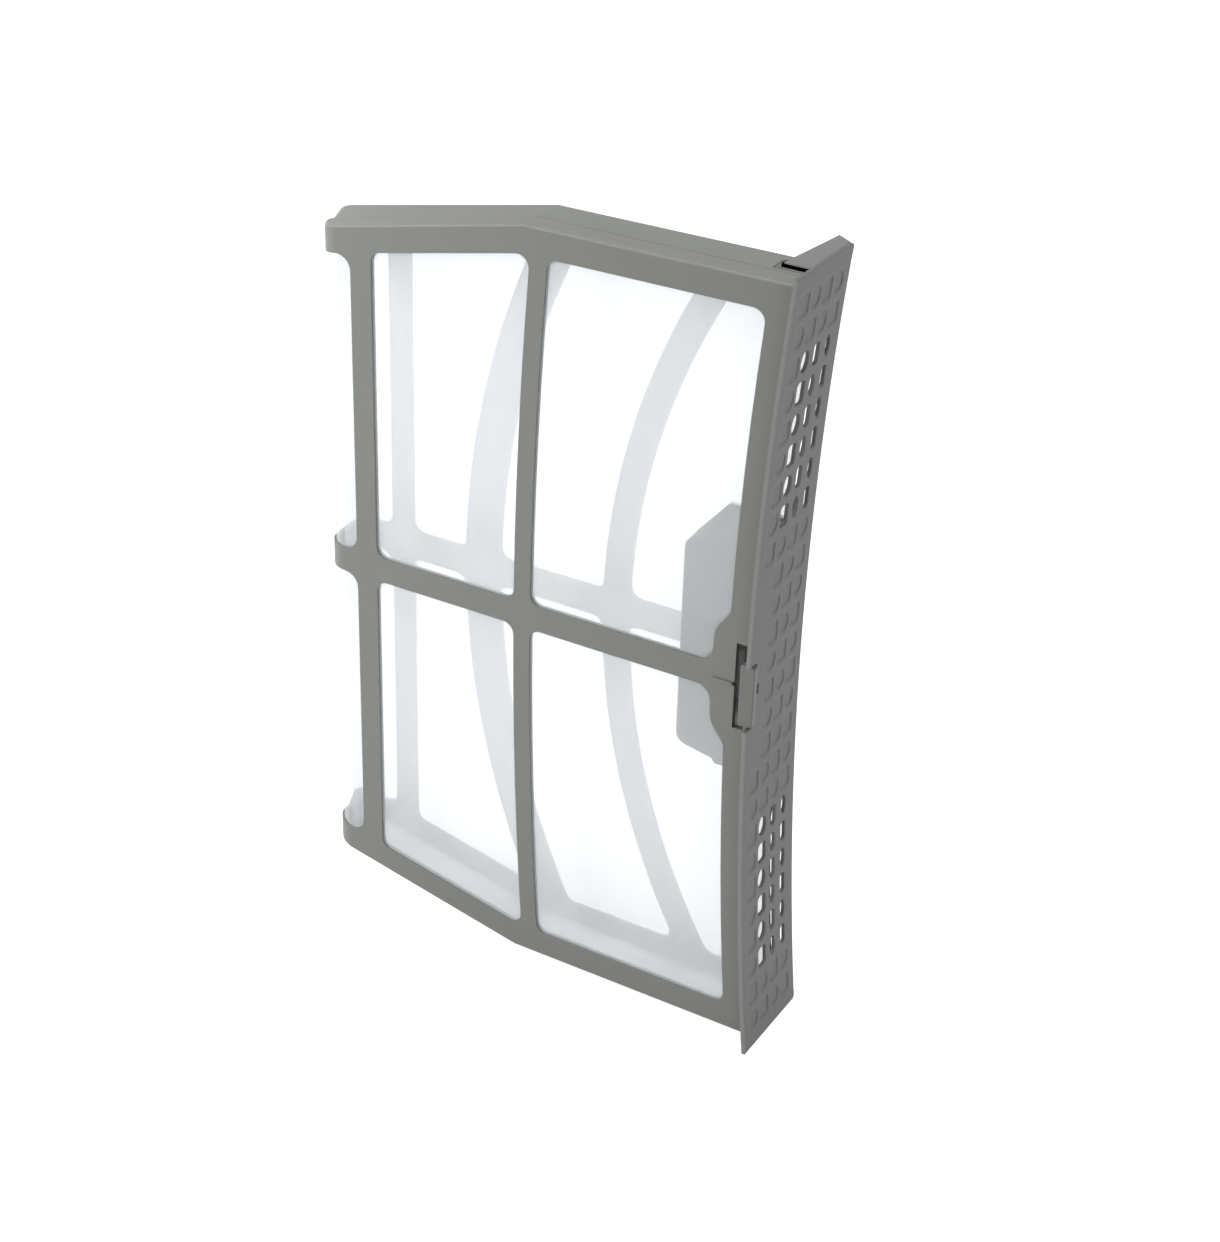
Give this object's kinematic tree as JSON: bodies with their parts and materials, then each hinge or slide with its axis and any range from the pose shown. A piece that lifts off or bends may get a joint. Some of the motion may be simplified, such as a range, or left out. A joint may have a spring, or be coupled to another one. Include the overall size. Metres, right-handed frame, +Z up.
{
  "type": "tumble dryer lint filter",
  "caption": "Flat two-leaf lint filter for a tumble dryer: a mesh-filled pocket that opens like a book, with a curved, vented handle plate and a push latch.",
  "frame": {"origin": "middle of the bounding box's bottom", "axes": "+Z up along the handle plate as the filter stands on its end, +X from the bend to the handle plate, the front leaf faces -Y"},
  "size_m": [0.1676, 0.035, 0.27],
  "materials": {
    "frame": "satin moulded grey",
    "plate": "satin moulded grey",
    "latch": "satin moulded grey",
    "mesh": "fine white filter mesh"
  },
  "bodies": {
    "rear_half": {"rear_frame": "frame", "rear_mesh": "mesh", "handle_plate": "plate"},
    "front_leaf": {"front_frame": "frame", "front_mesh": "mesh"},
    "latch": {"latch_hook": "latch"}
  },
  "joints": [
    {"name": "leaf_hinge", "type": "hinge", "parent": "rear_half", "child": "front_leaf", "pos_m": [-0.0838, -0.0047, 0.135], "axis": [0, 0, -1], "range_deg": [0, 170]},
    {"name": "latch_slide", "type": "slide", "parent": "rear_half", "child": "latch", "axis": [-1, 0, 0], "range_m": [0, 0.0016], "stiffness_N_per_m": 200}
  ]
}
